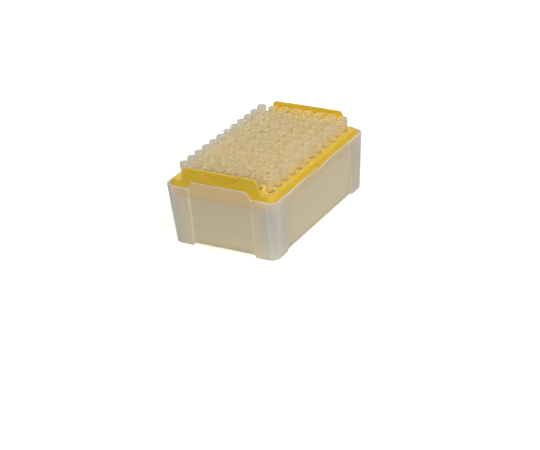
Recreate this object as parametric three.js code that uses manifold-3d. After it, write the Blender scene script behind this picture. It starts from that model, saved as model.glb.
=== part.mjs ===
// Box of pipette tips: an open polypropylene box, the tip rack that drops into it and
// 96 tips on the 9 mm grid of a well plate. Millimetres, +Z up, X along the 12 columns.
// Origin: middle of the box, on the surface that the feet stand on.
import * as THREE from 'three';
import { mergeVertices } from 'three/addons/utils/BufferGeometryUtils.js';
import Module from 'manifold-3d';

const wasm = await Module();
wasm.setup();

// ---- driving dimensions ---------------------------------------------------------------

// The grid of tips: rows A to H run along the box, columns 1 to 12 across it.
const PITCH = 9;
const COLUMNS = 12;
const ROWS = 'ABCDEFGH';

// Outside of the box. It widens from the feet to the rim, for draft.
const FOOT = { halfX: 60.3, halfY: 38.5 };
const RIM = { halfX: 61.8, halfY: 41.3, z: 41.6 };
const CORNER_RADIUS = 6.4;
const CORNER_STEPS = 3;
const BOTTOM_CHAMFER = 0.8;
const WALL = 1.4;
const FLOOR = { underside: 2.2, top: 3.4 };

// The walls step in between four corner posts, and only the posts reach the table.
const END_PANEL = { halfWidth: 23, depth: 1.0 };
const SIDE_PANEL = { halfWidthAtRim: 38.5, halfWidthAtFoot: 45, depth: 0.45 };
const POST = { raise: 1.6, footWidth: 5 };

// A tongue rises from each end panel, and the rim of each long side dips at its middle.
const TONGUE = { halfWidthAtTop: 20.5, height: 4.4 };
const THUMB_DIP = { halfWidthAtRim: 8, halfWidthAtBottom: 4, depth: 0.9 };

// Upright ribs inside the box. The skirt of the rack stands on their tops.
const RIB = { thickness: 1.2, reach: 4.0, top: 34.9 };
const SIDE_RIBS_X = [-46.6, -43, -39.4, 39.4, 43, 46.6];
const END_RIBS_Y = [0];

// The rack: a skirt inside the walls, a flange just under the rim, a step up to the deck.
const RACK_CLEARANCE = 0.3;
const SKIRT = { bottom: 35, thickness: 1.1 };
const FLANGE = { top: 41.0, width: 1.4, thickness: 1.3 };
const DECK = { top: 44.2, thickness: 1.4, cornerRadius: 4, stepLean: 0.6 };
const DECK_RIB = { thickness: 1, depth: 4, atX: [0], atY: [0] };

// A lifting handle at each end of the rack, with a half-moon grip pad and four ribs outside.
const HANDLE = {
  top: 54.4, rootBelowDeck: 1, thickness: 1.4, setBack: 0.5,
  halfWidthAtRoot: 29.8, halfWidthAtShoulder: 27.4, halfWidthAtBend: 26.5, halfWidthAtTop: 24.4,
  shoulderDrop: 3.4,
};
const BEND_STEPS = 2;
const GRIP = { chord: 30, depth: 7.4, arcSteps: 6, proud: 0.3 };
const GRIP_RIB = { count: 4, firstBelowTop: 1.0, pitch: 1.6, height: 0.8, proud: 0.4, endGap: 0.5 };

// A tip: a tapered collar above the deck, a long cone below it, hollow from end to end.
const TIP = {
  top: 53.5, kneeZ: 43, bottom: 4,
  collarRadius: 3.27, kneeRadius: 2.42, endRadius: 0.45,
  boreTopRadius: 2.75, boreEndRadius: 0.25,
};
const TIP_SIDES = 8;
const SEAT_CLEARANCE = 0.08;

// The 56 tips of the outer rows and columns are loose pieces that stand in their seats.
// The 40 tips in the middle are joined to the rack.
const JOINED = { rows: 'CDEF', firstColumn: 2, lastColumn: 11 };

// Cutting tools reach this far past the part.
const BEYOND = 100;
const OVERLAP = 1;

// ---- solids ---------------------------------------------------------------------------

function toSolid(geometry) {
  geometry.deleteAttribute('normal');
  geometry.deleteAttribute('uv');
  const merged = mergeVertices(geometry, 1e-4);
  const corners = merged.index.array;
  const triangles = [];
  for (let i = 0; i < corners.length; i += 3) {
    const [a, b, c] = [corners[i], corners[i + 1], corners[i + 2]];
    if (a !== b && b !== c && c !== a) triangles.push(a, b, c);
  }
  return new wasm.Manifold(new wasm.Mesh({
    numProp: 3,
    vertProperties: Float32Array.from(merged.attributes.position.array),
    triVerts: Uint32Array.from(triangles),
  }));
}

function toGeometry(solid) {
  const mesh = solid.getMesh();
  const geometry = new THREE.BufferGeometry();
  geometry.setAttribute('position', new THREE.BufferAttribute(mesh.vertProperties, 3));
  geometry.setIndex(new THREE.BufferAttribute(mesh.triVerts, 1));
  geometry.computeVertexNormals();
  return geometry;
}

function unionOf(solids) {
  return solids.reduce((whole, solid) => whole.add(solid));
}

function block(x0, x1, y0, y1, z0, z1) {
  const geometry = new THREE.BoxGeometry(x1 - x0, y1 - y0, z1 - z0);
  geometry.translate((x0 + x1) / 2, (y0 + y1) / 2, (z0 + z1) / 2);
  return toSolid(geometry);
}

// A rounded rectangle, anticlockwise, with quarter arcs at its corners.
function roundedOutline({ halfX, halfY, radius }) {
  const points = [];
  const quadrants = [[1, 1], [-1, 1], [-1, -1], [1, -1]];
  quadrants.forEach(([signX, signY], quarter) => {
    for (let step = 0; step <= CORNER_STEPS; step += 1) {
      const angle = (quarter + step / CORNER_STEPS) * Math.PI / 2;
      const x = signX * (halfX - radius) + radius * Math.cos(angle);
      const y = signY * (halfY - radius) + radius * Math.sin(angle);
      points.push([x, y]);
    }
  });
  return points;
}

// A solid through a stack of rounded rectangles { halfX, halfY, radius, z }, lowest first.
function loft(sections) {
  const rings = sections.map(roundedOutline);
  const count = rings[0].length;
  const positions = [];
  rings.forEach((ring, level) => {
    ring.forEach(([x, y]) => positions.push(x, y, sections[level].z));
  });
  const index = [];
  for (let level = 0; level + 1 < rings.length; level += 1) {
    for (let i = 0; i < count; i += 1) {
      const a = level * count + i;
      const b = level * count + (i + 1) % count;
      index.push(a, b, b + count, a, b + count, a + count);
    }
  }
  const last = (rings.length - 1) * count;
  for (let i = 1; i + 1 < count; i += 1) {
    index.push(0, i + 1, i, last, last + i, last + i + 1);
  }
  const geometry = new THREE.BufferGeometry();
  geometry.setAttribute('position', new THREE.Float32BufferAttribute(positions, 3));
  geometry.setIndex(index);
  return toSolid(geometry);
}

// The outline of the box's outside at a height, moved inwards by an inset.
function sectionAt(z, inset) {
  const share = z / RIM.z;
  return {
    halfX: FOOT.halfX + share * (RIM.halfX - FOOT.halfX) - inset,
    halfY: FOOT.halfY + share * (RIM.halfY - FOOT.halfY) - inset,
    radius: CORNER_RADIUS - inset,
    z,
  };
}

function lineOf(z0, z1, inset) {
  return loft([sectionAt(z0, inset), sectionAt(z1, inset)]);
}

// A shape drawn on a long side of the box, as [along, height], and given a thickness in Y.
function sideProfile(shape, y0, y1) {
  const geometry = new THREE.ExtrudeGeometry(shape, {
    depth: y1 - y0, bevelEnabled: false, curveSegments: BEND_STEPS,
  });
  geometry.rotateX(Math.PI / 2);
  geometry.translate(0, y1, 0);
  return geometry;
}

// The same, drawn on an end of the box and given a thickness in X.
function endProfile(shape, x0, x1) {
  return sideProfile(shape, -x1, -x0).rotateZ(Math.PI / 2);
}

function outline(points) {
  return new THREE.Shape(points.map(([along, z]) => new THREE.Vector2(along, z)));
}

function trapezoid(halfBottom, halfTop, z0, z1) {
  return outline([[-halfBottom, z0], [halfBottom, z0], [halfTop, z1], [-halfTop, z1]]);
}

// The box's form between two heights, moved inwards by an inset: the full outline at the
// corner posts, stepped in over the end panels.
function boxForm(inset, z0, z1) {
  const [low, high] = [z0 - OVERLAP, z1 + OVERLAP];
  const endHalf = END_PANEL.halfWidth + inset;
  const endZone = block(-BEYOND, BEYOND, -endHalf, endHalf, low, high);
  return lineOf(z0, z1, inset).subtract(endZone.subtract(lineOf(low, high, inset + END_PANEL.depth)));
}

// ---- box ------------------------------------------------------------------------------

function supportRibs() {
  const half = RIB.thickness / 2;
  const slices = [
    ...SIDE_RIBS_X.map((x) => block(x - half, x + half, -BEYOND, BEYOND, 0, RIB.top)),
    ...END_RIBS_Y.map((y) => block(-BEYOND, BEYOND, y - half, y + half, 0, RIB.top)),
  ];
  const thickWall = boxForm(WALL / 2, FLOOR.underside, RIB.top)
    .subtract(lineOf(0, RIM.z, RIB.reach));
  return thickWall.intersect(unionOf(slices));
}

function tongues() {
  const root = RIM.z - OVERLAP;
  const top = RIM.z + TONGUE.height;
  const face = endProfile(trapezoid(END_PANEL.halfWidth, TONGUE.halfWidthAtTop, root, top), -BEYOND, BEYOND);
  const panels = lineOf(root, top, END_PANEL.depth)
    .subtract(lineOf(0, top + OVERLAP, END_PANEL.depth + WALL));
  return toSolid(face).intersect(panels);
}

// What a shallow step takes off the outside of each long side, between leaning posts.
function sidePanelCuts() {
  const [low, high] = [-OVERLAP, RIM.z + OVERLAP];
  const spread = (SIDE_PANEL.halfWidthAtRim - SIDE_PANEL.halfWidthAtFoot) / RIM.z;
  const halfWidthAt = (z) => SIDE_PANEL.halfWidthAtFoot + spread * z;
  const zone = sideProfile(trapezoid(halfWidthAt(low), halfWidthAt(high), low, high), -BEYOND, BEYOND);
  return toSolid(zone).subtract(lineOf(low - OVERLAP, high + OVERLAP, SIDE_PANEL.depth));
}

function tipBox() {
  const chamfered = loft([
    sectionAt(0, BOTTOM_CHAMFER),
    sectionAt(BOTTOM_CHAMFER, 0),
    sectionAt(RIM.z, 0),
  ]);
  const outside = boxForm(0, 0, RIM.z).intersect(chamfered).subtract(sidePanelCuts());
  const inside = boxForm(WALL, FLOOR.top, RIM.z + OVERLAP);
  const footCuts = unionOf([
    block(-SIDE_PANEL.halfWidthAtFoot, SIDE_PANEL.halfWidthAtFoot, -BEYOND, BEYOND, -OVERLAP, POST.raise),
    block(-BEYOND, BEYOND, -END_PANEL.halfWidth, END_PANEL.halfWidth, -OVERLAP, POST.raise),
    lineOf(-OVERLAP, FLOOR.underside, POST.footWidth),
  ]);
  const dipBottom = RIM.z - THUMB_DIP.depth;
  const dip = toSolid(sideProfile(outline([
    [-THUMB_DIP.halfWidthAtBottom, dipBottom],
    [THUMB_DIP.halfWidthAtBottom, dipBottom],
    [THUMB_DIP.halfWidthAtRim, RIM.z],
    [THUMB_DIP.halfWidthAtRim, RIM.z + OVERLAP],
    [-THUMB_DIP.halfWidthAtRim, RIM.z + OVERLAP],
    [-THUMB_DIP.halfWidthAtRim, RIM.z],
  ]), -BEYOND, BEYOND));
  return outside.subtract(inside).subtract(footCuts).subtract(dip).add(supportRibs()).add(tongues());
}

// ---- tips -----------------------------------------------------------------------------

// A solid of revolution about Z through [radius, z] points, with flats towards its neighbours.
function turned(points) {
  const profile = points.map(([radius, z]) => new THREE.Vector2(radius, z));
  const geometry = new THREE.LatheGeometry(profile, TIP_SIDES, Math.PI / TIP_SIDES);
  return geometry.rotateX(Math.PI / 2);
}

function looseTip() {
  return turned([
    [TIP.boreEndRadius, TIP.bottom],
    [TIP.endRadius, TIP.bottom],
    [TIP.kneeRadius, TIP.kneeZ],
    [TIP.collarRadius, TIP.top],
    [TIP.boreTopRadius, TIP.top],
    [TIP.boreEndRadius, TIP.bottom],
  ]);
}

function tipCore() {
  return turned([
    [0, TIP.bottom],
    [TIP.endRadius, TIP.bottom],
    [TIP.kneeRadius, TIP.kneeZ],
    [TIP.collarRadius, TIP.top],
    [0, TIP.top],
  ]);
}

function tipBore() {
  const slope = (TIP.boreTopRadius - TIP.boreEndRadius) / (TIP.top - TIP.bottom);
  const low = [TIP.boreEndRadius - slope * OVERLAP, TIP.bottom - OVERLAP];
  const high = [TIP.boreTopRadius + slope * OVERLAP, TIP.top + OVERLAP];
  return turned([[0, low[1]], low, high, [0, high[1]]]);
}

// The hole that a collar's taper wedges in.
function tipSeat() {
  const slope = (TIP.collarRadius - TIP.kneeRadius) / (TIP.top - TIP.kneeZ);
  const radiusAt = (z) => TIP.kneeRadius + slope * (z - TIP.kneeZ) + SEAT_CLEARANCE;
  const low = DECK.top - DECK.thickness - OVERLAP;
  const high = DECK.top + OVERLAP;
  return turned([[0, low], [radiusAt(low), low], [radiusAt(high), high], [0, high]]);
}

function gridPlaces() {
  const places = [];
  [...ROWS].forEach((row, rowIndex) => {
    for (let column = 1; column <= COLUMNS; column += 1) {
      places.push({
        name: `tip_${row}${String(column).padStart(2, '0')}`,
        x: (column - (COLUMNS + 1) / 2) * PITCH,
        y: ((ROWS.length - 1) / 2 - rowIndex) * PITCH,
        joined: JOINED.rows.includes(row) && column >= JOINED.firstColumn && column <= JOINED.lastColumn,
      });
    }
  });
  return places;
}

function atPlaces(makeGeometry, places) {
  return unionOf(places.map(({ x, y }) => toSolid(makeGeometry().translate(x, y, 0))));
}

// ---- rack -----------------------------------------------------------------------------

// Handles and grips are drawn for the +X end, and a half turn makes the other end's.
function bothEnds(makeGeometry) {
  return toSolid(makeGeometry()).add(toSolid(makeGeometry().rotateZ(Math.PI)));
}

const HANDLE_OUTSIDE = sectionAt(FLANGE.top, WALL + RACK_CLEARANCE + END_PANEL.depth).halfX - HANDLE.setBack;

function handlePlate() {
  const root = DECK.top - HANDLE.rootBelowDeck;
  const shoulder = HANDLE.top - HANDLE.shoulderDrop;
  const shape = new THREE.Shape();
  shape.moveTo(-HANDLE.halfWidthAtRoot, root);
  shape.lineTo(HANDLE.halfWidthAtRoot, root);
  shape.lineTo(HANDLE.halfWidthAtShoulder, shoulder);
  shape.quadraticCurveTo(HANDLE.halfWidthAtBend, HANDLE.top, HANDLE.halfWidthAtTop, HANDLE.top);
  shape.lineTo(-HANDLE.halfWidthAtTop, HANDLE.top);
  shape.quadraticCurveTo(-HANDLE.halfWidthAtBend, HANDLE.top, -HANDLE.halfWidthAtShoulder, shoulder);
  return endProfile(shape, HANDLE_OUTSIDE - HANDLE.thickness, HANDLE_OUTSIDE);
}

// A low pad on the handle's outside, a half moon that hangs from the top edge, and ribs
// across it that stop just short of its edge.
const GRIP_RADIUS = ((GRIP.chord / 2) ** 2 + GRIP.depth ** 2) / (2 * GRIP.depth);
const GRIP_CENTRE_Z = HANDLE.top - GRIP.depth + GRIP_RADIUS;

function gripPad() {
  const halfAngle = Math.asin(GRIP.chord / 2 / GRIP_RADIUS);
  const points = [];
  for (let i = 0; i <= GRIP.arcSteps; i += 1) {
    const angle = (2 * i / GRIP.arcSteps - 1) * halfAngle;
    points.push([GRIP_RADIUS * Math.sin(angle), GRIP_CENTRE_Z - GRIP_RADIUS * Math.cos(angle)]);
  }
  return endProfile(outline(points), HANDLE_OUTSIDE - HANDLE.thickness / 2, HANDLE_OUTSIDE + GRIP.proud);
}

function gripRib(index) {
  const top = HANDLE.top - GRIP_RIB.firstBelowTop - index * GRIP_RIB.pitch;
  const bottom = top - GRIP_RIB.height;
  const reach = GRIP_RADIUS - GRIP_RIB.endGap;
  const halfLengthAt = (z) => Math.sqrt(reach ** 2 - (GRIP_CENTRE_Z - z) ** 2);
  const shape = trapezoid(halfLengthAt(bottom), halfLengthAt(top), bottom, top);
  return endProfile(shape, HANDLE_OUTSIDE + GRIP.proud / 2, HANDLE_OUTSIDE + GRIP.proud + GRIP_RIB.proud);
}

function grips() {
  const pads = [bothEnds(gripPad)];
  for (let i = 0; i < GRIP_RIB.count; i += 1) pads.push(bothEnds(() => gripRib(i)));
  return unionOf(pads);
}

function tipRack(places) {
  const edge = WALL + RACK_CLEARANCE;
  const stepFoot = edge + FLANGE.width;
  const deckSection = (z, inset) => ({ ...sectionAt(FLANGE.top, inset), radius: DECK.cornerRadius, z });
  const outside = boxForm(edge, SKIRT.bottom, FLANGE.top).add(loft([
    deckSection(FLANGE.top - FLANGE.thickness / 2, stepFoot),
    deckSection(FLANGE.top, stepFoot),
    deckSection(DECK.top, stepFoot + DECK.stepLean),
  ]));
  const underFlange = FLANGE.top - FLANGE.thickness;
  const underDeck = DECK.top - DECK.thickness;
  const inside = boxForm(edge + SKIRT.thickness, SKIRT.bottom - OVERLAP, underFlange).add(loft([
    deckSection(underFlange - OVERLAP, stepFoot + FLANGE.thickness),
    deckSection(underDeck, stepFoot + FLANGE.thickness + DECK.stepLean),
  ]));
  const half = DECK_RIB.thickness / 2;
  const ribBottom = underDeck - DECK_RIB.depth;
  const deckRibs = unionOf([
    ...DECK_RIB.atX.map((x) => block(x - half, x + half, -BEYOND, BEYOND, ribBottom, DECK.top)),
    ...DECK_RIB.atY.map((y) => block(-BEYOND, BEYOND, y - half, y + half, ribBottom, DECK.top)),
  ]).intersect(outside);
  const loose = places.filter((place) => !place.joined);
  const joined = places.filter((place) => place.joined);
  return outside.subtract(inside)
    .add(deckRibs)
    .add(bothEnds(handlePlate))
    .add(grips())
    .subtract(atPlaces(tipSeat, loose))
    .add(atPlaces(tipCore, joined))
    .subtract(atPlaces(tipBore, joined));
}

// ---- assembly -------------------------------------------------------------------------

const frostedPolypropylene = new THREE.MeshStandardMaterial({
  color: 0xd8d2c2, roughness: 0.5, metalness: 0, transparent: true, opacity: 0.7,
});
const yellowPolypropylene = new THREE.MeshStandardMaterial({
  color: 0xe3b93a, roughness: 0.45, metalness: 0,
});
const naturalPolypropylene = new THREE.MeshStandardMaterial({
  color: 0xdccda4, roughness: 0.35, metalness: 0,
});

function piece(name, geometry, material) {
  const mesh = new THREE.Mesh(geometry, material);
  mesh.name = name;
  return mesh;
}

const places = gridPlaces();
const assembly = new THREE.Group();
assembly.add(piece('tip_box', toGeometry(tipBox()), frostedPolypropylene));
assembly.add(piece('tip_rack', toGeometry(tipRack(places)), yellowPolypropylene));
places.filter((place) => !place.joined).forEach(({ name, x, y }) => {
  const tip = piece(name, looseTip(), naturalPolypropylene);
  tip.position.set(x, y, 0);
  assembly.add(tip);
});

export default assembly;
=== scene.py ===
"""A box of 96 pipette tips, dressed: a frosted box, a yellow rack that drops into it and the tips.

Lengths are in millimetres until a mesh is made, and metres from there on. X runs along the
twelve columns of tips, Y along the eight rows, and Z up from the table.
"""

import math
from collections import namedtuple

import bpy
from mathutils import Matrix, Vector
from mathutils.geometry import delaunay_2d_cdt


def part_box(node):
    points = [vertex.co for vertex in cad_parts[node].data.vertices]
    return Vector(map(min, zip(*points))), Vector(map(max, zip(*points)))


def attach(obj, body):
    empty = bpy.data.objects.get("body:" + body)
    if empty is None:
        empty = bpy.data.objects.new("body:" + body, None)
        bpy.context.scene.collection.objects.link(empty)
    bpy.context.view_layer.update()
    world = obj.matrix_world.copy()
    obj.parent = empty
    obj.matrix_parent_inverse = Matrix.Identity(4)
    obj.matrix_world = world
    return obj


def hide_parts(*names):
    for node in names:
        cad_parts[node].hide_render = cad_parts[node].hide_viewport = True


MM = 0.001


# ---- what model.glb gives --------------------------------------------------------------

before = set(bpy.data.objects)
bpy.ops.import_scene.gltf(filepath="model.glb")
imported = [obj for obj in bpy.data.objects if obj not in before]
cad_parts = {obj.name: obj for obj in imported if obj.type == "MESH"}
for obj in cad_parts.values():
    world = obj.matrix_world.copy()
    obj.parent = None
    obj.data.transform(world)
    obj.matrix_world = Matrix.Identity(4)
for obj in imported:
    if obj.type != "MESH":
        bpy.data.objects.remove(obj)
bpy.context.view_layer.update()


def node_box(name):
    """Lowest and highest corner of a CAD node, in millimetres."""
    low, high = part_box(name)
    return low / MM, high / MM


_, BOX_HIGH = node_box("tip_box")
_, RACK_HIGH = node_box("tip_rack")
FIRST_TIP_LOW, FIRST_TIP_HIGH = node_box("tip_A01")
LAST_TIP_LOW, LAST_TIP_HIGH = node_box("tip_H12")

ROWS = "ABCDEFGH"
COLUMNS = 12
FIRST_TIP = (FIRST_TIP_LOW + FIRST_TIP_HIGH) / 2
LAST_TIP = (LAST_TIP_LOW + LAST_TIP_HIGH) / 2
PITCH = (LAST_TIP.x - FIRST_TIP.x) / (COLUMNS - 1)


# ---- sizes -----------------------------------------------------------------------------

# The box. Its walls lean out from the feet to the rim, for draft.
TONGUE_HEIGHT = 4.4
RIM_Z = BOX_HIGH.z - TONGUE_HEIGHT
RIM_HALF = (BOX_HIGH.x, BOX_HIGH.y)
FOOT_HALF = (BOX_HIGH.x - 1.5, BOX_HIGH.y - 2.8)
CORNER_RADIUS = 6.4
WALL = 1.4
WALL_LEVELS = (8.0, 16.0, 24.0, 32.0, 39.5)
FLOOR_UNDERSIDE = 2.2
FLOOR_TOP = 3.4
POST_RAISE = 1.6
FOOT_WIDTH = 5.0
FOOT_ROUNDING = 0.8
FLOOR_FILLET = 1.5
RIM_ROUNDING = 0.4

# The walls step in between the corner posts: deeper at the ends than along the sides.
END_PANEL_HALF = 23.0
END_PANEL_DEPTH = 1.0
SIDE_PANEL_HALF_AT_RIM = 38.5
SIDE_PANEL_HALF_AT_FOOT = 45.0
SIDE_PANEL_DEPTH = 0.45
STEP_HALF = 0.35

# A tongue rises from each end panel, and each long rim dips at its middle.
TONGUE_HALF_AT_TOP = 20.5
TONGUE_HALF_AT_RIM = 22.6
DIP_DEPTH = 0.9
DIP_HALF_AT_RIM = 8.0
DIP_HALF_AT_BOTTOM = 4.0
PROFILE_ROUNDING = 0.7

# Where the outline has its points, closest together where it bends.
END_STATIONS_Y = (0.0, 6.0, 12.0, 17.0)
TONGUE_EDGE_LEAD = 1.2
TONGUE_EDGE_SPACING = 0.3
TONGUE_EDGE_STATIONS = 12
STEP_STATIONS = 7
CORNER_STEPS = 10
POST_STATION_X = 50.0
SIDE_STATIONS_X = (32.0, 24.0, 16.0, 11.0, 9.0, 8.2, 7.6, 7.0, 6.0, 5.0, 4.3, 3.7, 3.1, 2.4, 0.0)

# Upright ribs inside the box carry the skirt of the rack. They are sunk into its floor.
RIB_THICKNESS = 1.2
RIB_REACH = 4.0
RIB_BOTTOM = FLOOR_UNDERSIDE + 0.6
RIB_TOP = 34.9
SIDE_RIBS_X = (-46.6, -43.0, -39.4, 39.4, 43.0, 46.6)

# The rack: a skirt inside the walls, a flange under the rim and a step up to the deck.
SKIRT_INSET = WALL + 0.3
SKIRT_THICKNESS = 1.1
SKIRT_BOTTOM = 35.0
SKIRT_ROUNDING = 0.3
FLANGE_TOP = 41.0
FLANGE_THICKNESS = 1.3
FLANGE_WIDTH = 1.4
DECK_TOP = 44.2
DECK_THICKNESS = 1.4
DECK_CORNER_RADIUS = 4.0
DECK_STEP_LEAN = 0.6
DECK_ROUNDING = 0.7
DECK_RIB_THICKNESS = 1.0
DECK_RIB_DEPTH = 4.0

# A lifting handle stands at each end of the rack, with a ribbed half-moon grip outside.
HANDLE_TOP = RACK_HIGH.z
HANDLE_ROOT = DECK_TOP - 1.0
HANDLE_OUTSIDE = 58.58
HANDLE_THICKNESS = 1.4
HANDLE_HALF_AT_ROOT = 29.8
HANDLE_HALF_AT_SHOULDER = 27.4
HANDLE_SHOULDER_DROP = 3.4
HANDLE_HALF_AT_TOP = 24.4
HANDLE_BEND_HALF = 26.5
HANDLE_ROUNDING = 0.45

# The points of a handle's faces: a few near its edge, few below the grip and many across it.
HANDLE_EDGE_OFFSETS = (0.0, 0.05, 0.14, 0.27, 0.45)
HANDLE_INNER_OFFSET = 0.8
HANDLE_LOW_ROWS = 5
HANDLE_LOW_ROW_SPACING = 0.8
HANDLE_FINE_ROWS = 48
HANDLE_HALF_COLUMNS = 80

# The grip: a half-moon pad inside a fine groove, with level ribs and grooves between them.
GRIP_CHORD = 30.0
GRIP_DEPTH = 7.4
GRIP_PAD_HEIGHT = 0.3
GRIP_RIBS = 4
GRIP_FIRST_RIB = 1.4
GRIP_RIB_PITCH = 1.6
GRIP_RIB_WIDTH = 0.9
GRIP_RIB_HEIGHT = 0.4
GRIP_RIB_END_GAP = 0.5
GRIP_GROOVE_DEPTH = 0.4
GRIP_OUTLINE_WIDTH = 0.7
GRIP_OUTLINE_DEPTH = 0.35
GRIP_EDGE = 0.25

# A tip: a tapered collar above the deck, a long cone below it, hollow from end to end.
TIP_TOP = FIRST_TIP_HIGH.z
TIP_BOTTOM = FIRST_TIP_LOW.z
TIP_KNEE_Z = 43.0
COLLAR_RADIUS = 3.27
KNEE_RADIUS = 2.42
TIP_END_RADIUS = 0.45
MOUTH_RADIUS = 2.75
BORE_KNEE_RADIUS = 1.95
BORE_END_RADIUS = 0.25
TIP_ROUNDING = 0.2
TIP_ROUNDING_STEPS = 3
TIP_SIDES = 40

# Each hole of the deck is wider at the top than the collar that wedges in it lower down.
HOLE_RADIUS = 3.0
SEAT_RADIUS = 2.55
SEAT_DEPTH = 0.9
SEAT_CHAMFER = 0.3
HOLE_SIDES = 40


# ---- meshes ----------------------------------------------------------------------------

SHARP_ANGLE = math.radians(40)
CLOSE_POINTS = 1e-6


def smooth_step(t):
    """A smooth rise from 0 to 1 while t goes from 0 to 1."""
    t = min(1.0, max(0.0, t))
    return t * t * (3 - 2 * t)


def smooth_min(a, b, rounding):
    """The lower of two values, with the corner between them rounded."""
    return (a + b - math.hypot(a - b, rounding)) / 2


def quarter(start, end, starts_upright, steps=4):
    """Points (inset, height) on a quarter of an ellipse from start to end."""
    points = []
    for i in range(steps + 1):
        turn = math.pi / 2 * i / steps
        slow, fast = 1 - math.cos(turn), math.sin(turn)
        across, up = (slow, fast) if starts_upright else (fast, slow)
        inset = start[0] + (end[0] - start[0]) * across
        height = start[1] + (end[1] - start[1]) * up
        points.append((inset, height))
    return points


class Surface:
    """The points and faces of a mesh, gathered ring by ring."""

    def __init__(self):
        self.points = []
        self.faces = []

    def add(self, points):
        """Adds points and returns their numbers."""
        first = len(self.points)
        self.points.extend(points)
        return list(range(first, len(self.points)))

    def bridge(self, lower, upper):
        """Quads between two closed rings of as many points."""
        for i, a in enumerate(lower):
            j = (i + 1) % len(lower)
            self.faces.append((a, lower[j], upper[j], upper[i]))

    def stack(self, rings):
        """Adds rings of points, bridges them in turn, and returns the first and the last."""
        added = [self.add(points) for points in rings]
        for lower, upper in zip(added[:-1], added[1:]):
            self.bridge(lower, upper)
        return added[0], added[-1]

    def cap(self, ring, faces_up):
        self.faces.append(tuple(ring) if faces_up else tuple(reversed(ring)))

    def mesh(self, name):
        made = bpy.data.meshes.new(name)
        made.from_pydata([[c * MM for c in point] for point in self.points], [], self.faces)
        made.validate()
        return made


def smoothed(mesh):
    mesh.shade_smooth()
    mesh.set_sharp_from_angle(angle=SHARP_ANGLE)
    return mesh


def placed(name, data):
    """An object of the scene with this mesh, camera or lamp."""
    made = bpy.data.objects.new(name, data)
    bpy.context.scene.collection.objects.link(made)
    return made


def joined(name, mesh, *others):
    """The union of a mesh with other closed meshes."""
    whole = placed(name, mesh)
    parts = [placed(other.name, other) for other in others]
    for part in parts:
        modifier = whole.modifiers.new("join", "BOOLEAN")
        modifier.operation = "UNION"
        modifier.solver = "EXACT"
        modifier.object = part
    graph = bpy.context.evaluated_depsgraph_get()
    union = bpy.data.meshes.new_from_object(whole.evaluated_get(graph))
    for done in (whole, *parts):
        bpy.data.objects.remove(done)
    return union


def piece(name, mesh, material, nodes=()):
    """An object of the part, on the one body that it has."""
    made = placed(name, mesh)
    if not mesh.materials:
        mesh.materials.append(material)
    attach(made, "root")
    if nodes:
        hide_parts(*nodes)
    return made


def hold_flats_flat(made):
    """Lets the large faces set the shading next to their rounded edges."""
    modifier = made.modifiers.new("flat faces stay flat", "WEIGHTED_NORMAL")
    modifier.keep_sharp = True


# ---- the outline that the box and the rack share ---------------------------------------

Station = namedtuple("Station", "kind foot rim shift step rise sign_x sign_y")


def station(kind, foot, rim=None, shift=0.0, step=0.0, rise=0.0):
    """A point of the outline, in the quarter where X and Y are positive.

    kind is end, corner or side. foot and rim are its place along that side, at the table and
    at the rim, or its angle on the corner. shift is how much of an inset moves it along the
    side, step its share of the panel's depth, and rise what it adds to the rim's height.
    """
    return Station(kind, foot, foot if rim is None else rim, shift, step, rise, 1, 1)


def tongue_rise(y):
    """How far the rim of an end stands above the rest, at a distance from its middle."""
    slope = TONGUE_HEIGHT / (TONGUE_HALF_AT_RIM - TONGUE_HALF_AT_TOP)
    return max(0.0, smooth_min(slope * (TONGUE_HALF_AT_RIM - y), TONGUE_HEIGHT, PROFILE_ROUNDING))


def dip_rise(x):
    """How far the rim of a long side dips, at a distance from its middle."""
    slope = DIP_DEPTH / (DIP_HALF_AT_RIM - DIP_HALF_AT_BOTTOM)
    return -max(0.0, smooth_min(slope * (DIP_HALF_AT_RIM - x), DIP_DEPTH, PROFILE_ROUNDING / 2))


def quarter_outline():
    """Stations from the middle of an end, round the corner, to the middle of a long side."""
    stations = []
    edge_from = TONGUE_HALF_AT_TOP - TONGUE_EDGE_LEAD
    tongue_edge = [edge_from + TONGUE_EDGE_SPACING * i for i in range(TONGUE_EDGE_STATIONS)]
    middle = (STEP_STATIONS - 1) / 2
    for y in (*END_STATIONS_Y, *tongue_edge):
        stations.append(station("end", y, step=1.0, rise=tongue_rise(y)))
    for i in range(STEP_STATIONS):
        y = END_PANEL_HALF + STEP_HALF * (i - middle) / middle
        step = smooth_step(1 - i / (STEP_STATIONS - 1))
        stations.append(station("end", y, shift=1.0, step=step))
    for i in range(CORNER_STEPS + 1):
        stations.append(station("corner", math.pi / 2 * i / CORNER_STEPS))
    stations.append(station("side", POST_STATION_X))
    for i in range(STEP_STATIONS):
        off = STEP_HALF * (middle - i) / middle
        foot, rim = SIDE_PANEL_HALF_AT_FOOT + off, SIDE_PANEL_HALF_AT_RIM + off
        step = smooth_step(i / (STEP_STATIONS - 1))
        stations.append(station("side", foot, rim, step=step))
    for x in SIDE_STATIONS_X:
        stations.append(station("side", x, step=1.0, rise=dip_rise(x)))
    return stations


def whole_outline():
    """The quarter mirrored, to go once round the box, anticlockwise from the +X end."""
    stations = quarter_outline()
    around = []
    for sign_x, sign_y in ((1, 1), (-1, 1), (-1, -1), (1, -1)):
        part = stations if sign_x == sign_y else stations[::-1]
        around.extend(s._replace(sign_x=sign_x, sign_y=sign_y) for s in part[:-1])
    return around


OUTLINE = whole_outline()


def half_size(z):
    """Half the length and half the width of the box's outside at a height."""
    share = z / RIM_Z
    return [foot + share * (rim - foot) for foot, rim in zip(FOOT_HALF, RIM_HALF)]


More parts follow.
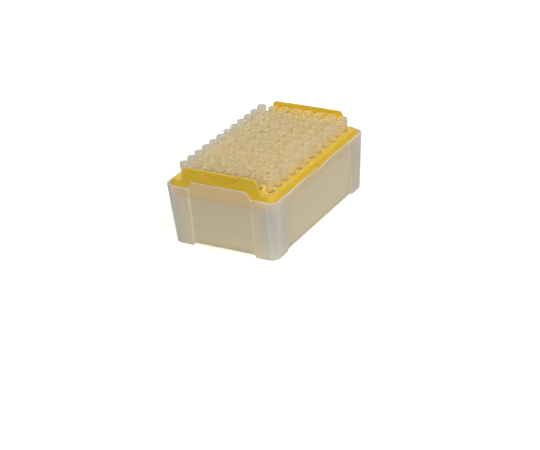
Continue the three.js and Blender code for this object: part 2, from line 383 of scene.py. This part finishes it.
def outline_point(s, inset, z, end_step, side_step, corner):
    """Where a station is, this far in from the outside, with a share of each panel's step."""
    half_x, half_y = half_size(z)
    along = s.foot + z / RIM_Z * (s.rim - s.foot) + s.shift * inset * end_step
    if s.kind == "corner":
        x = half_x - corner + (corner - inset) * math.cos(s.foot)
        y = half_y - corner + (corner - inset) * math.sin(s.foot)
    elif s.kind == "end":
        x, y = half_x - inset - end_step * END_PANEL_DEPTH * s.step, along
    else:
        x, y = along, half_y - inset - side_step * SIDE_PANEL_DEPTH * s.step
    return (s.sign_x * x, s.sign_y * y, z)


def from_table(s):
    return 0.0


def from_foot(s):
    return POST_RAISE * s.step


def from_rim(s):
    return RIM_Z + s.rise


def ring(inset, height, base=from_table, end_step=1.0, side_step=1.0, corner=CORNER_RADIUS):
    """A closed ring of the outline, at a height above the table, the feet or the rim."""
    return [outline_point(s, inset, base(s) + height, end_step, side_step, corner) for s in OUTLINE]


# ---- box -------------------------------------------------------------------------------


def box_shell():
    """Once round the section of the moulding: underside, outside, rim, inside and floor."""
    foot, rim, wall = FOOT_ROUNDING, RIM_ROUNDING, WALL
    rings = [ring(FOOT_WIDTH, FLOOR_UNDERSIDE), ring(FOOT_WIDTH, 0, from_foot)]
    rings += [ring(*at, from_foot) for at in quarter((foot, 0), (0, foot), False)]
    rings += [ring(0, z) for z in WALL_LEVELS]
    rings += [ring(*at, from_rim) for at in quarter((0, -rim), (rim, 0), True)]
    inner_rim = quarter((wall - rim, 0), (wall, -rim), False)
    rings += [ring(*at, from_rim, side_step=0) for at in inner_rim]
    rings += [ring(wall, z, side_step=0) for z in reversed(WALL_LEVELS)]
    fillet = quarter((wall, FLOOR_TOP + FLOOR_FILLET), (wall + FLOOR_FILLET, FLOOR_TOP), True)
    rings += [ring(*at, side_step=0) for at in fillet]
    surface = Surface()
    first, last = surface.stack(rings)
    surface.cap(first, faces_up=False)
    surface.cap(last, faces_up=True)
    return surface.mesh("box_shell")


def support_ribs():
    """Wedges on the inside of the walls, whose inner edge leans with the wall."""
    surface = Surface()
    half = RIB_THICKNESS / 2

    def rib(corners_at):
        first, last = surface.stack([corners_at(z) for z in (RIB_BOTTOM, RIB_TOP)])
        surface.cap(first, faces_up=False)
        surface.cap(last, faces_up=True)

    for side in (1, -1):
        def on_end(z):
            outer = half_size(z)[0] - END_PANEL_DEPTH - WALL / 2
            inner = half_size(z)[0] - RIB_REACH
            flat = [(inner, -half), (outer, -half), (outer, half), (inner, half)]
            return [(side * x, side * y, z) for x, y in flat]

        rib(on_end)
        for place in SIDE_RIBS_X:
            def on_side(z):
                outer = half_size(z)[1] - WALL / 2
                inner = half_size(z)[1] - RIB_REACH
                flat = [(-half, inner), (half, inner), (half, outer), (-half, outer)]
                return [(place + side * x, side * y, z) for x, y in flat]

            rib(on_side)
    return surface.mesh("support_ribs")


# ---- rack ------------------------------------------------------------------------------


def tip_places():
    """The name, X and Y of each of the 96 tips."""
    places = []
    for row, letter in enumerate(ROWS):
        for column in range(COLUMNS):
            x = FIRST_TIP.x + column * PITCH
            y = FIRST_TIP.y - row * PITCH
            places.append((f"{letter}{column + 1:02d}", x, y))
    return places


def circle(x, y, radius, z, sides):
    turns = [2 * math.pi * i / sides for i in range(sides)]
    return [(x + radius * math.cos(t), y + radius * math.sin(t), z) for t in turns]


def plate_face(surface, outer, hole_radius, z, faces_up):
    """A flat face inside a ring, with a round hole at each tip. Returns the holes' rings."""
    holes = [surface.add(circle(x, y, hole_radius, z, HOLE_SIDES)) for _, x, y in tip_places()]
    loops = [outer, *holes]
    ids = [i for loop in loops for i in loop]
    flat = [Vector(surface.points[i][:2]) for i in ids]
    edges, start = [], 0
    for loop in loops:
        edges += [(start + i, start + (i + 1) % len(loop)) for i in range(len(loop))]
        start += len(loop)
    made = delaunay_2d_cdt(flat, edges, [], 1, CLOSE_POINTS)
    corners, triangles, sources = made[0], made[2], made[3]
    centres = [Vector((x, y)) for _, x, y in tip_places()]
    for triangle in triangles:
        middle = sum((corners[i] for i in triangle), Vector((0, 0))) / len(triangle)
        if min((middle - c).length for c in centres) < hole_radius:
            continue
        face = [ids[sources[i][0]] for i in triangle]
        a, b, c = (flat[sources[i][0]] for i in triangle)
        anticlockwise = (b - a).cross(c - a) > 0
        surface.cap(face, faces_up=anticlockwise == faces_up)
    return holes


def rack_body():
    """Skirt, flange, step and deck, with the 96 holes."""
    outside, inside, bottom = SKIRT_INSET, SKIRT_INSET + SKIRT_THICKNESS, SKIRT_BOTTOM
    step_foot = SKIRT_INSET + FLANGE_WIDTH
    step_top = step_foot + DECK_STEP_LEAN
    r = SKIRT_ROUNDING
    under_deck, under_flange = DECK_TOP - DECK_THICKNESS, FLANGE_TOP - FLANGE_THICKNESS

    def deck_ring(inset, z):
        return ring(inset, z, end_step=0, side_step=0, corner=DECK_CORNER_RADIUS + inset)

    def skirt_ring(inset, z):
        return ring(inset, z, side_step=0)

    rings = [
        deck_ring(step_top + FLANGE_THICKNESS, under_deck),
        deck_ring(step_foot + FLANGE_THICKNESS, under_flange),
        skirt_ring(inside, under_flange),
    ]
    skirt = quarter((inside, bottom + r), (inside - r, bottom), True)
    skirt += quarter((outside + r, bottom), (outside, bottom + r), False)
    skirt += quarter((outside, FLANGE_TOP - r), (outside + r, FLANGE_TOP), True)
    rings += [skirt_ring(*at) for at in skirt]
    rings.append(deck_ring(step_foot, FLANGE_TOP))
    edge = quarter((step_top, DECK_TOP - DECK_ROUNDING), (step_top + DECK_ROUNDING, DECK_TOP), True)
    rings += [deck_ring(*at) for at in edge]
    surface = Surface()
    first, last = surface.stack(rings)
    top_holes = plate_face(surface, last, HOLE_RADIUS, DECK_TOP, faces_up=True)
    low_holes = plate_face(surface, first, SEAT_RADIUS, under_deck, faces_up=False)
    for (_, x, y), top, low in zip(tip_places(), top_holes, low_holes):
        shoulder = surface.add(circle(x, y, HOLE_RADIUS, DECK_TOP - SEAT_DEPTH, HOLE_SIDES))
        seat_z = DECK_TOP - SEAT_DEPTH - SEAT_CHAMFER
        seat = surface.add(circle(x, y, SEAT_RADIUS, seat_z, HOLE_SIDES))
        surface.bridge(top, shoulder)
        surface.bridge(shoulder, seat)
        surface.bridge(seat, low)
    return surface.mesh("rack_body")


def deck_rib(half_length, along_x, name):
    """A rib below the deck, along the middle of the rack, that ends inside the skirt."""
    half = DECK_RIB_THICKNESS / 2
    x, y = (half_length, half) if along_x else (half, half_length)
    corners = [(-x, -y), (x, -y), (x, y), (-x, y)]
    levels = (DECK_TOP - DECK_THICKNESS - DECK_RIB_DEPTH, DECK_TOP - DECK_THICKNESS / 2)
    surface = Surface()
    first, last = surface.stack([[(*corner, z) for corner in corners] for z in levels])
    surface.cap(first, faces_up=False)
    surface.cap(last, faces_up=True)
    return surface.mesh(name)


def deck_ribs():
    """The cross of ribs that stiffens the deck."""
    half_x, half_y = half_size(FLANGE_TOP)
    middle_of_skirt = SKIRT_INSET + SKIRT_THICKNESS / 2
    return [
        deck_rib(half_x - END_PANEL_DEPTH - middle_of_skirt, True, "long_deck_rib"),
        deck_rib(half_y - middle_of_skirt, False, "short_deck_rib"),
    ]


def handle_half_width(z):
    """Half the width of a handle at a height: straight sides, and a bend into the top edge."""
    shoulder = HANDLE_TOP - HANDLE_SHOULDER_DROP
    if z <= shoulder:
        share = (z - HANDLE_ROOT) / (shoulder - HANDLE_ROOT)
        return HANDLE_HALF_AT_ROOT + share * (HANDLE_HALF_AT_SHOULDER - HANDLE_HALF_AT_ROOT)
    t = 1 - math.sqrt(max(0.0, (HANDLE_TOP - z) / HANDLE_SHOULDER_DROP))
    bend = 2 * t * (1 - t) * HANDLE_BEND_HALF
    return (1 - t) ** 2 * HANDLE_HALF_AT_SHOULDER + bend + t ** 2 * HANDLE_HALF_AT_TOP


# The search for a handle's edge starts this far below its root, lower than any edge asked for.
HALVING_REACH = 20.0
HALVINGS = 30


def handle_edge_height(y):
    """How high the handle reaches at a distance from its middle, found by halving."""
    if abs(y) <= HANDLE_HALF_AT_TOP:
        return HANDLE_TOP
    low, high = HANDLE_ROOT - HALVING_REACH, HANDLE_TOP
    for _ in range(HALVINGS):
        middle = (low + high) / 2
        if handle_half_width(middle) > abs(y):
            low = middle
        else:
            high = middle
    return low


def handle_edge_rounding(y, z):
    """How far a face of the handle falls back near its edge."""
    across, up = handle_half_width(z) - abs(y), handle_edge_height(y) - z
    if min(across, up) <= CLOSE_POINTS:
        return HANDLE_ROUNDING
    distance = min(HANDLE_ROUNDING, across * up / math.hypot(across, up))
    return HANDLE_ROUNDING - math.sqrt(HANDLE_ROUNDING ** 2 - (HANDLE_ROUNDING - distance) ** 2)


def grip_relief(y, z):
    """A half-moon pad that hangs from the top edge inside a fine groove, ribbed across."""
    radius = ((GRIP_CHORD / 2) ** 2 + GRIP_DEPTH ** 2) / (2 * GRIP_DEPTH)
    centre = HANDLE_TOP - GRIP_DEPTH + radius
    to_edge = radius - math.hypot(y, centre - z)
    pad = GRIP_PAD_HEIGHT * smooth_step(to_edge / GRIP_EDGE)
    outline = smooth_step((to_edge + GRIP_OUTLINE_WIDTH) / GRIP_EDGE)
    outline *= smooth_step(-to_edge / GRIP_EDGE)
    below_first = HANDLE_TOP - z - GRIP_FIRST_RIB
    nearest = min(max(round(below_first / GRIP_RIB_PITCH), 0), GRIP_RIBS - 1)
    half_ribs_off = (below_first - nearest * GRIP_RIB_PITCH) / (GRIP_RIB_WIDTH / 2)
    rib = math.sqrt(max(0.0, 1 - half_ribs_off * half_ribs_off))
    beside_a_rib = abs(half_ribs_off) < GRIP_RIB_PITCH / GRIP_RIB_WIDTH
    groove = 1 - rib if beside_a_rib else 0.0
    ribbed = smooth_step((to_edge - GRIP_RIB_END_GAP) / GRIP_EDGE)
    relief = (GRIP_RIB_HEIGHT * rib - GRIP_GROOVE_DEPTH * groove) * ribbed
    return pad + relief - GRIP_OUTLINE_DEPTH * outline


def handle_rows():
    """The points (y, z) of a handle's face, row by row from its root to its top edge."""
    fine_from = HANDLE_ROOT + HANDLE_LOW_ROW_SPACING * (HANDLE_LOW_ROWS - 1)
    fine_height = HANDLE_TOP - HANDLE_EDGE_OFFSETS[-1] - fine_from
    levels = [HANDLE_ROOT + HANDLE_LOW_ROW_SPACING * i for i in range(HANDLE_LOW_ROWS)]
    for i in range(HANDLE_FINE_ROWS):
        levels.append(fine_from + fine_height * (i + 1) / HANDLE_FINE_ROWS)
    levels += [HANDLE_TOP - offset for offset in reversed(HANDLE_EDGE_OFFSETS[:-1])]
    columns = range(-HANDLE_HALF_COLUMNS, HANDLE_HALF_COLUMNS + 1)
    rows = []
    for z in levels:
        half = handle_half_width(z)
        inner = half - HANDLE_INNER_OFFSET
        edge = [half - offset for offset in HANDLE_EDGE_OFFSETS]
        across = [-y for y in edge]
        across += [inner * (i / HANDLE_HALF_COLUMNS) for i in columns]
        across += reversed(edge)
        rows.append([(y, z) for y in across])
    return rows


def handle():
    """The handle of the +X end: two faces of the same grid of points, joined round the edge."""
    rows = handle_rows()
    width, height = len(rows[0]), len(rows)
    outside, inside = [], []
    for y, z in (at for row in rows for at in row):
        fall = handle_edge_rounding(y, z)
        relief = grip_relief(y, z) if z < HANDLE_TOP else 0.0
        outside.append((HANDLE_OUTSIDE - fall + relief, y, z))
        inside.append((HANDLE_OUTSIDE - HANDLE_THICKNESS + fall, y, z))
    surface = Surface()
    outside, inside = surface.add(outside), surface.add(inside)
    for j in range(height - 1):
        for i in range(width - 1):
            low, high = j * width + i, (j + 1) * width + i
            corners = [low, low + 1, high + 1, high]
            surface.cap([outside[c] for c in corners], faces_up=True)
            surface.cap([inside[c] for c in corners], faces_up=False)
    around = list(range(width))
    around += [j * width + width - 1 for j in range(1, height)]
    around += [(height - 1) * width + i for i in range(width - 2, -1, -1)]
    around += [j * width for j in range(height - 2, 0, -1)]
    surface.bridge([inside[i] for i in around], [outside[i] for i in around])
    return surface


def handles():
    """Both handles: the second is the first turned half a turn about Z."""
    meshes = []
    for side, name in ((1, "back_handle"), (-1, "front_handle")):
        surface = handle()
        surface.points = [(side * x, side * y, z) for x, y, z in surface.points]
        meshes.append(surface.mesh(name))
    return meshes


# ---- tips ------------------------------------------------------------------------------


def tip_mesh():
    """One tip, turned about Z: up the outside, over the mouth and down the bore."""
    r, steps = TIP_ROUNDING, TIP_ROUNDING_STEPS
    mouth_outside = quarter((0, TIP_TOP - r), (r, TIP_TOP), True, steps)
    mouth_inside = quarter((MOUTH_RADIUS + r, TIP_TOP), (MOUTH_RADIUS, TIP_TOP - r), False, steps)
    profile = [(BORE_END_RADIUS, TIP_BOTTOM), (TIP_END_RADIUS, TIP_BOTTOM)]
    profile.append((KNEE_RADIUS, TIP_KNEE_Z))
    profile += [(COLLAR_RADIUS - inset, z) for inset, z in mouth_outside]
    profile += mouth_inside
    profile.append((BORE_KNEE_RADIUS, TIP_KNEE_Z))
    surface = Surface()
    first, last = surface.stack([circle(0, 0, radius, z, TIP_SIDES) for radius, z in profile])
    surface.bridge(last, first)
    return smoothed(surface.mesh("tip"))


# ---- shader nodes ----------------------------------------------------------------------


def linear(hex_colour):
    """An sRGB hex colour as the linear RGBA that shaders take."""
    channels = [int(hex_colour[i:i + 2], 16) / 255 for i in (1, 3, 5)]
    decoded = [c / 12.92 if c <= 0.04045 else ((c + 0.055) / 1.055) ** 2.4 for c in channels]
    return (*decoded, 1.0)


def add_node(tree, kind, inputs=None, **settings):
    """Adds a node. inputs gives sockets a value, or another node's output."""
    made = tree.nodes.new(kind)
    for name, value in settings.items():
        setattr(made, name, value)
    for name, value in (inputs or {}).items():
        if isinstance(value, bpy.types.NodeSocket):
            tree.links.new(value, made.inputs[name])
        else:
            made.inputs[name].default_value = value
    return made


def new_material(name):
    material = bpy.data.materials.new(name)
    material.use_nodes = True
    material.node_tree.nodes.clear()
    return material, material.node_tree


def finished(tree, shader):
    add_node(tree, "ShaderNodeOutputMaterial", {"Surface": shader.outputs[0]})


def lets_lamps_through(tree, shader, passed):
    """The shader, and clear for the light of lamps, of which each surface passes this share."""
    path = add_node(tree, "ShaderNodeLightPath").outputs
    clear = add_node(tree, "ShaderNodeBsdfTransparent", {"Color": (passed, passed, passed, 1)})
    return add_node(tree, "ShaderNodeMixShader", {
        0: path["Is Shadow Ray"], 1: shader.outputs[0], 2: clear.outputs[0],
    })


def mapped(tree, value, at_low, at_high, low=0.0, high=1.0):
    """at_low where the value is low or less, at_high where it is high or more, even between."""
    return add_node(tree, "ShaderNodeMapRange", {
        "Value": value, "From Min": low, "From Max": high, "To Min": at_low, "To Max": at_high,
    }).outputs["Result"]


def share_past(tree, value, none_at, all_at):
    """0 where the value is at the first limit and 1 at the second, which may be the lower one."""
    return mapped(tree, value, 0.0, 1.0, none_at, all_at)


def combined(tree, operation, first, second):
    return add_node(tree, "ShaderNodeMath", {
        0: first, 1: second,
    }, operation=operation).outputs["Value"]


# The colour sockets of a Mix node, which share their names with its number sockets.
MIX_SHARE, MIX_A, MIX_B, MIX_RESULT = 0, 6, 7, 2


def mixed(tree, share, first, second):
    """The first colour, with this share of it changed to the second."""
    return add_node(tree, "ShaderNodeMix", {
        MIX_SHARE: share, MIX_A: first, MIX_B: second,
    }, data_type="RGBA").outputs[MIX_RESULT]


def noise(tree, place, scale, detail):
    """A soft uneven value between 0 and 1, scale times finer than a metre."""
    return add_node(tree, "ShaderNodeTexNoise", {
        "Vector": place, "Scale": scale, "Detail": detail,
    }).outputs["Fac"]


def object_place(tree):
    """A point's place on its piece, in metres."""
    return add_node(tree, "ShaderNodeTexCoord").outputs["Object"]


def outward(tree, place):
    """How far out from the middle a point is along X and along Y, and its height."""
    unsigned = add_node(tree, "ShaderNodeVectorMath", {0: place}, operation="ABSOLUTE")
    return add_node(tree, "ShaderNodeSeparateXYZ", {"Vector": unsigned.outputs["Vector"]}).outputs


# How much a surface faces up where it starts to count as a rim, and where it is one.
RIM_UPWARD = (0.3, 0.8)


def upward(tree):
    """How much a surface faces up: 1 on a level top and 0 on an upright wall."""
    normal = add_node(tree, "ShaderNodeNewGeometry").outputs["Normal"]
    return add_node(tree, "ShaderNodeSeparateXYZ", {"Vector": normal}).outputs["Z"]


def facing_up(tree):
    """Where a surface faces up, as a wall's rim does."""
    return share_past(tree, upward(tree), *RIM_UPWARD)


# ---- materials -------------------------------------------------------------------------

POLYPROPYLENE_IOR = 1.49

# How much of a lamp's light each surface lets through: of the box's wall, and of a tip's.
WALL_PASSES = 0.5
TIP_PASSES = 0.91

# How clear each plastic is: through its wall, and at the rim, where the eye looks into the wall.
WALL_CLEAR, WALL_RIM_CLEAR = 0.74, 0.35
TIP_CLEAR, TIP_RIM_CLEAR = 1.0, 0.4

# Each pair below says where a tint starts and where it is full. Places are in millimetres: a
# height, or how far out a point is along X or Y.

# The height from which the rack stands behind the wall. From there up, the wall's colour is painted
# yellower and darker: the rack and its shade, as seen through the wall.
RACK_PAINTED_THROUGH_WALL = (34, 36)

# Where the wall turns its corners, whose colour is painted greyer.
TURN_X = (36, 56)
TURN_Y = (26, 36)

# Which points are on an end wall and which on a side wall.
ON_END_WALL = (57, 58)
ON_SIDE_WALL = (36, 37)

# The walls of the tips' seats: how much they face up at most, their height and their reach.
SEAT_UPWARD = (0.8, 0.6)
SEAT_HEIGHT = (42.6, 42.8)
SEATS_X = (53.2, 53.0)
SEATS_Y = (35.2, 35.0)

# The upright lines where the wall steps: half their width, full and with the fade, and their share
# of the rim's density and of a paler colour, which is a painted highlight along the step's edges.
LINE_FULL, LINE_FADED = 0.5, 1.0
HIGHLIT_LINE_SHARE = 0.27


def share_past_mm(tree, value, limits):
    """The same for a place in metres and limits in millimetres."""
    none_at, all_at = limits
    return share_past(tree, value, none_at * MM, all_at * MM)


def near(tree, value, line):
    """1 close to an upright line, at a distance along the wall, and 0 a little way from it."""
    away = combined(tree, "ABSOLUTE", combined(tree, "SUBTRACT", value, line), 0.0)
    return mapped(tree, away, 1.0, 0.0, LINE_FULL * MM, LINE_FADED * MM)


def at_corners(tree, out_x, out_y):
    """Where the box's wall turns its corners, which are painted greyer."""
    past_x, past_y = share_past_mm(tree, out_x, TURN_X), share_past_mm(tree, out_y, TURN_Y)
    return combined(tree, "MULTIPLY", past_x, past_y)


def at_highlit_steps(tree, out_x, out_y, height):
    """Where the wall steps in to its panels or starts to turn: upright lines, denser, with a
    painted highlight.
    """
    turn_x, turn_y = (side - CORNER_RADIUS for side in RIM_HALF)
    end_step = END_PANEL_HALF * MM
    side_step = mapped(
        tree, height, SIDE_PANEL_HALF_AT_FOOT * MM, SIDE_PANEL_HALF_AT_RIM * MM, 0.0, RIM_Z * MM,
    )
    highlit_lines = []
    for wall, limits, along, step, turn in (
        (out_x, ON_END_WALL, out_y, end_step, turn_y),
        (out_y, ON_SIDE_WALL, out_x, side_step, turn_x),
    ):
        both = combined(tree, "MAXIMUM", near(tree, along, step), near(tree, along, turn * MM))
        highlit_lines.append(combined(tree, "MULTIPLY", share_past_mm(tree, wall, limits), both))
    return combined(tree, "MAXIMUM", *highlit_lines)


def in_seats(tree, place):
    """The walls of the tips' seats, where light caught between yellow walls turns orange."""
    out_x, out_y, height = outward(tree, place)
    share = share_past(tree, upward(tree), *SEAT_UPWARD)
    for value, limits in ((height, SEAT_HEIGHT), (out_x, SEATS_X), (out_y, SEATS_Y)):
        share = combined(tree, "MULTIPLY", share, share_past_mm(tree, value, limits))
    return share


def frosted_polypropylene():
    """Natural polypropylene with a spark-eroded skin: a milky wall that blurs what is inside."""
    material, tree = new_material("frosted_polypropylene")
    place = object_place(tree)
    out_x, out_y, height = outward(tree, place)
    flow = noise(tree, place, scale=60.0, detail=2.0)
    colour = mixed(tree, flow, linear("#fdf5df"), linear("#faf0d6"))
    # Painted view through the wall: above the rack's skirt the wall takes a yellower, darker colour
    # for the rack and its shade behind it.
    painted_rack_behind = share_past_mm(tree, height, RACK_PAINTED_THROUGH_WALL)
    colour = mixed(tree, painted_rack_behind, colour, linear("#efe7cb"))
    # The corners are painted greyer and cooler, in place of the dimmer, colder light that comes
    # through the wall there, where no yellow rack lies behind.
    colour = mixed(tree, at_corners(tree, out_x, out_y), colour, linear("#eeece5"))
    # The step lines: denser, and paler in colour, which is a painted highlight along the edges of
    # the steps.
    highlit_lines = combined(tree, "MULTIPLY", at_highlit_steps(tree, out_x, out_y, height), HIGHLIT_LINE_SHARE)
    colour = mixed(tree, highlit_lines, colour, linear("#fffef8"))
    rim = facing_up(tree)
    colour = mixed(tree, rim, colour, linear("#ebe9de"))
    clear = mapped(tree, combined(tree, "MAXIMUM", rim, highlit_lines), WALL_CLEAR, WALL_RIM_CLEAR)
    grain = noise(tree, place, scale=2500.0, detail=1.0)
    bump = add_node(tree, "ShaderNodeBump", {
        "Height": grain, "Strength": 0.15, "Distance": 0.00005,
    })
    shader = add_node(tree, "ShaderNodeBsdfPrincipled", {
        "Base Color": colour, "Roughness": 0.5, "IOR": POLYPROPYLENE_IOR,
        "Transmission Weight": clear, "Normal": bump.outputs["Normal"],
    })
    finished(tree, lets_lamps_through(tree, shader, WALL_PASSES))
    return material


def yellow_polypropylene():
    """Pigmented polypropylene from a polished mould: even colour, soft gloss."""
    material, tree = new_material("yellow_polypropylene")
    place = object_place(tree)
    flow = noise(tree, place, scale=45.0, detail=2.0)
    colour = mixed(tree, flow, linear("#e0bc2a"), linear("#dcb623"))
    colour = mixed(tree, in_seats(tree, place), colour, linear("#e08f0c"))
    shader = add_node(tree, "ShaderNodeBsdfPrincipled", {
        "Base Color": colour, "Roughness": 0.45, "IOR": POLYPROPYLENE_IOR,
        "Sheen Weight": 0.25, "Sheen Roughness": 0.3,
    })
    finished(tree, shader)
    return material


def natural_polypropylene():
    """Unpigmented polypropylene in a thin wall: a light haze, denser at the rim of the mouth."""
    material, tree = new_material("natural_polypropylene")
    haze = noise(tree, object_place(tree), scale=300.0, detail=2.0)
    shader = add_node(tree, "ShaderNodeBsdfPrincipled", {
        "Base Color": linear("#fefefb"), "Roughness": mapped(tree, haze, 0.44, 0.52),
        "IOR": POLYPROPYLENE_IOR,
        "Transmission Weight": mapped(tree, facing_up(tree), TIP_CLEAR, TIP_RIM_CLEAR),
    })
    finished(tree, lets_lamps_through(tree, shader, TIP_PASSES))
    return material


# ---- the part --------------------------------------------------------------------------

box = piece(
    "frosted_box", smoothed(joined("frosted_box", box_shell(), support_ribs())),
    frosted_polypropylene(), ["tip_box"],
)
hold_flats_flat(box)

rack = piece(
    "yellow_rack", smoothed(joined("yellow_rack", rack_body(), *deck_ribs(), *handles())),
    yellow_polypropylene(), ["tip_rack"],
)
hold_flats_flat(rack)

natural = natural_polypropylene()
one_tip = tip_mesh()
for place_name, place_x, place_y in tip_places():
    node = f"tip_{place_name}"
    replaced = [node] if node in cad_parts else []
    tip = piece(f"natural_{node}", one_tip, natural, replaced)
    tip.location = (place_x * MM, place_y * MM, 0)


# ---- studio ----------------------------------------------------------------------------

AZIMUTH = math.radians(-58.13)
ELEVATION = math.radians(26.865)
ROLL = math.radians(-4.59)
DISTANCE = 1.0317
AIM_RIGHT, AIM_UP = -0.00073, -0.008392
LENS, SENSOR = 102.5, 36.0
CLIP_START, CLIP_END = 0.05, 20
LAMP_AIM = Vector((0, 0, 0.03))


def add_camera():
    """A long lens, tilted a little, that looks down on the corner of the box."""
    back = Vector((
        math.sin(AZIMUTH) * math.cos(ELEVATION),
        -math.cos(AZIMUTH) * math.cos(ELEVATION),
        math.sin(ELEVATION),
    ))
    level = Vector((math.cos(AZIMUTH), math.sin(AZIMUTH), 0))
    upright = back.cross(level)
    right = level * math.cos(ROLL) + upright * math.sin(ROLL)
    up = upright * math.cos(ROLL) - level * math.sin(ROLL)
    camera = placed("camera", bpy.data.cameras.new("camera"))
    camera.data.lens, camera.data.sensor_width = LENS, SENSOR
    camera.data.clip_start, camera.data.clip_end = CLIP_START, CLIP_END
    turn = Matrix((right, up, back)).transposed().to_4x4()
    place = right * AIM_RIGHT + up * AIM_UP + back * DISTANCE
    camera.matrix_world = Matrix.Translation(place) @ turn
    bpy.context.scene.camera = camera


def add_lamp(name, place, size, watts):
    """A soft white square lamp that faces the middle of the part."""
    lamp = placed(name, bpy.data.lights.new(name, "AREA"))
    lamp.data.size, lamp.data.energy = size, watts
    lamp.location = place
    lamp.rotation_mode = "QUATERNION"
    lamp.rotation_quaternion = (Vector(place) - LAMP_AIM).to_track_quat("Z", "Y")


# How much of the white background shows in reflections and through clear plastic. The rest
# there is the greyer light of the room, so that clear tips stand out from the white.
FLOOR_IN_GLOSS, FLOOR_IN_PLASTIC = 0.1, 0.12
ROOM_IN_GLOSS, ROOM_IN_PLASTIC = 1.0, 0.2

# How bright each is as a light on the part, and as the white that the camera sees.
FLOOR_LIGHTING, FLOOR_WHITE = 0.45, 1.8
ROOM_LIGHTING, ROOM_WHITE = 0.42, 1.0

# The table's half size in millimetres, and how far in metres it lies below the feet.
FLOOR_REACH = 3000.0
FLOOR_GAP = 0.0002


def white_where_seen(tree, in_gloss, in_plastic, lighting, white):
    """A colour that is white to the camera, and partly so in gloss and through plastic."""
    path = add_node(tree, "ShaderNodeLightPath").outputs
    gloss = add_node(tree, "ShaderNodeMath", {
        0: path["Is Glossy Ray"], 1: in_gloss, 2: path["Is Camera Ray"],
    }, operation="MULTIPLY_ADD")
    seen = add_node(tree, "ShaderNodeMath", {
        0: path["Is Transmission Ray"], 1: in_plastic, 2: gloss.outputs[0],
    }, operation="MULTIPLY_ADD", use_clamp=True)
    greys = [(level, level, level, 1) for level in (lighting, white)]
    return mixed(tree, seen.outputs[0], *greys)


def add_floor():
    """A white table. Where no shadow falls it is as white as the room behind it."""
    surface = Surface()
    turns = ((-1, -1), (1, -1), (1, 1), (-1, 1))
    corners = surface.add([(x * FLOOR_REACH, y * FLOOR_REACH, 0) for x, y in turns])
    surface.cap(corners, faces_up=True)
    floor = placed("floor", surface.mesh("floor"))
    floor.location.z = -FLOOR_GAP
    material, tree = new_material("white_table")
    colour = white_where_seen(
        tree, FLOOR_IN_GLOSS, FLOOR_IN_PLASTIC, FLOOR_LIGHTING, FLOOR_WHITE,
    )
    finished(tree, add_node(tree, "ShaderNodeBsdfDiffuse", {"Color": colour}))
    floor.data.materials.append(material)


def add_world():
    """An even grey room that lights softly and looks white."""
    world = bpy.data.worlds.new("room")
    bpy.context.scene.world = world
    world.use_nodes = True
    tree = world.node_tree
    tree.nodes.clear()
    colour = white_where_seen(tree, ROOM_IN_GLOSS, ROOM_IN_PLASTIC, ROOM_LIGHTING, ROOM_WHITE)
    background = add_node(tree, "ShaderNodeBackground", {"Color": colour})
    add_node(tree, "ShaderNodeOutputWorld", {"Surface": background.outputs[0]})


add_camera()
add_floor()
add_world()
add_lamp("key_lamp", (0.15, -1.05, 0.88), size=0.8, watts=6.6)
add_lamp("fill_lamp", (-1.2, -0.5, 0.75), size=0.5, watts=7.8)

scene = bpy.context.scene
scene.view_settings.view_transform = "Standard"

# Light crosses many thin walls on its way through the tips, so it needs many bounces.
scene.cycles.max_bounces = 48
scene.cycles.transmission_bounces = 48
scene.cycles.diffuse_bounces = 12
scene.cycles.transparent_max_bounces = 64
scene.cycles.glossy_bounces = 12
